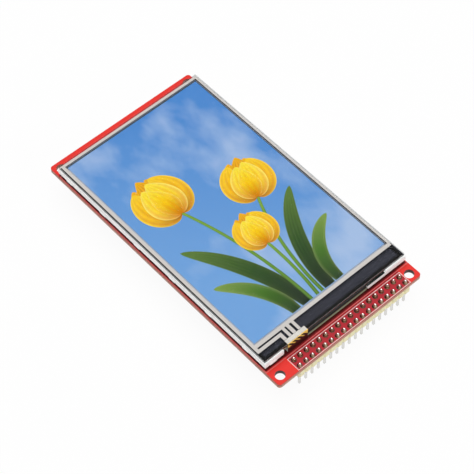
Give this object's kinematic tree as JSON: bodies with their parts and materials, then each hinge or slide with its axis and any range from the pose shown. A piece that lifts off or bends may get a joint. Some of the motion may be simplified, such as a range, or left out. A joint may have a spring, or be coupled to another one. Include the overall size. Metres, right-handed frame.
{
  "type": "tft display module",
  "caption": "Portrait colour display with a resistive touch panel on a red circuit board, with a two-row pin header along one short edge and a memory card socket on the back.",
  "frame": {"origin": "centre of the four mounting holes, on the board's back face", "axes": "+X along the short side, +Y from the pin header's end to the far end, +Z out of the screen"},
  "size_m": [0.058, 0.108, 0.0145],
  "materials": {
    "board_glass_fibre": "satin",
    "red_solder_mask": "gloss",
    "white_ink": "matt",
    "yellow_header_plastic": "satin",
    "tinned_pin": "bright",
    "solder": "bright",
    "white_foam": "matt",
    "white_frame_plastic": "satin",
    "reflector_film": "bright",
    "clear_acrylic": "polished",
    "white_film": "matt",
    "prism_film": "satin",
    "led_package": "satin",
    "amber_film": "gloss",
    "black_tape": "satin",
    "polariser_film": "gloss",
    "display_glass": "polished",
    "silicon": "polished",
    "black_film": "gloss",
    "black_adhesive": "matt",
    "clear_adhesive": "gloss",
    "touch_glass": "polished",
    "touch_film": "gloss",
    "beige_ink": "satin",
    "touch_conductor": "satin",
    "black_socket_plastic": "satin",
    "stamped_steel": "satin",
    "gold_plate": "bright",
    "black_chip_plastic": "satin",
    "capacitor_ceramic": "satin",
    "resistor_ceramic": "gloss",
    "tin_plate": "satin"
  },
  "bodies": {
    "root": {"board_core": "board_glass_fibre", "solder_mask_front": "red_solder_mask", "solder_mask_back": "red_solder_mask", "silkscreen_front": "white_ink", "header_body": "yellow_header_plastic", "header_pins": "tinned_pin", "header_solder_joints": "solder", "foam_strips": "white_foam", "backlight_frame": "white_frame_plastic", "reflector_sheet": "reflector_film", "light_guide": "clear_acrylic", "diffuser_sheet": "white_film", "lower_prism_sheet": "prism_film", "upper_prism_sheet": "prism_film", "backlight_leds": "led_package", "led_strip": "amber_film", "rim_tape": "black_tape", "rear_polariser": "polariser_film", "array_glass": "display_glass", "filter_glass": "display_glass", "front_polariser": "polariser_film", "driver_chip": "silicon", "ledge_tape": "black_tape", "display_tail": "black_film", "touch_gasket": "black_adhesive", "touch_glass": "touch_glass", "touch_spacer": "clear_adhesive", "touch_conductors": "beige_ink", "touch_film": "touch_film", "touch_tail": "amber_film", "touch_tail_conductors": "touch_conductor", "socket_base": "black_socket_plastic", "socket_cover": "stamped_steel", "socket_contacts": "gold_plate", "level_shifters": "black_chip_plastic", "level_shifter_leads": "tin_plate", "touch_controller": "black_chip_plastic", "touch_controller_leads": "tin_plate", "regulator": "black_chip_plastic", "regulator_leads": "tin_plate", "backlight_transistor": "black_chip_plastic", "backlight_transistor_leads": "tin_plate", "capacitors": "capacitor_ceramic", "capacitor_ends": "tin_plate", "resistors": "resistor_ceramic", "resistor_ends": "tin_plate"}
  },
  "joints": []
}
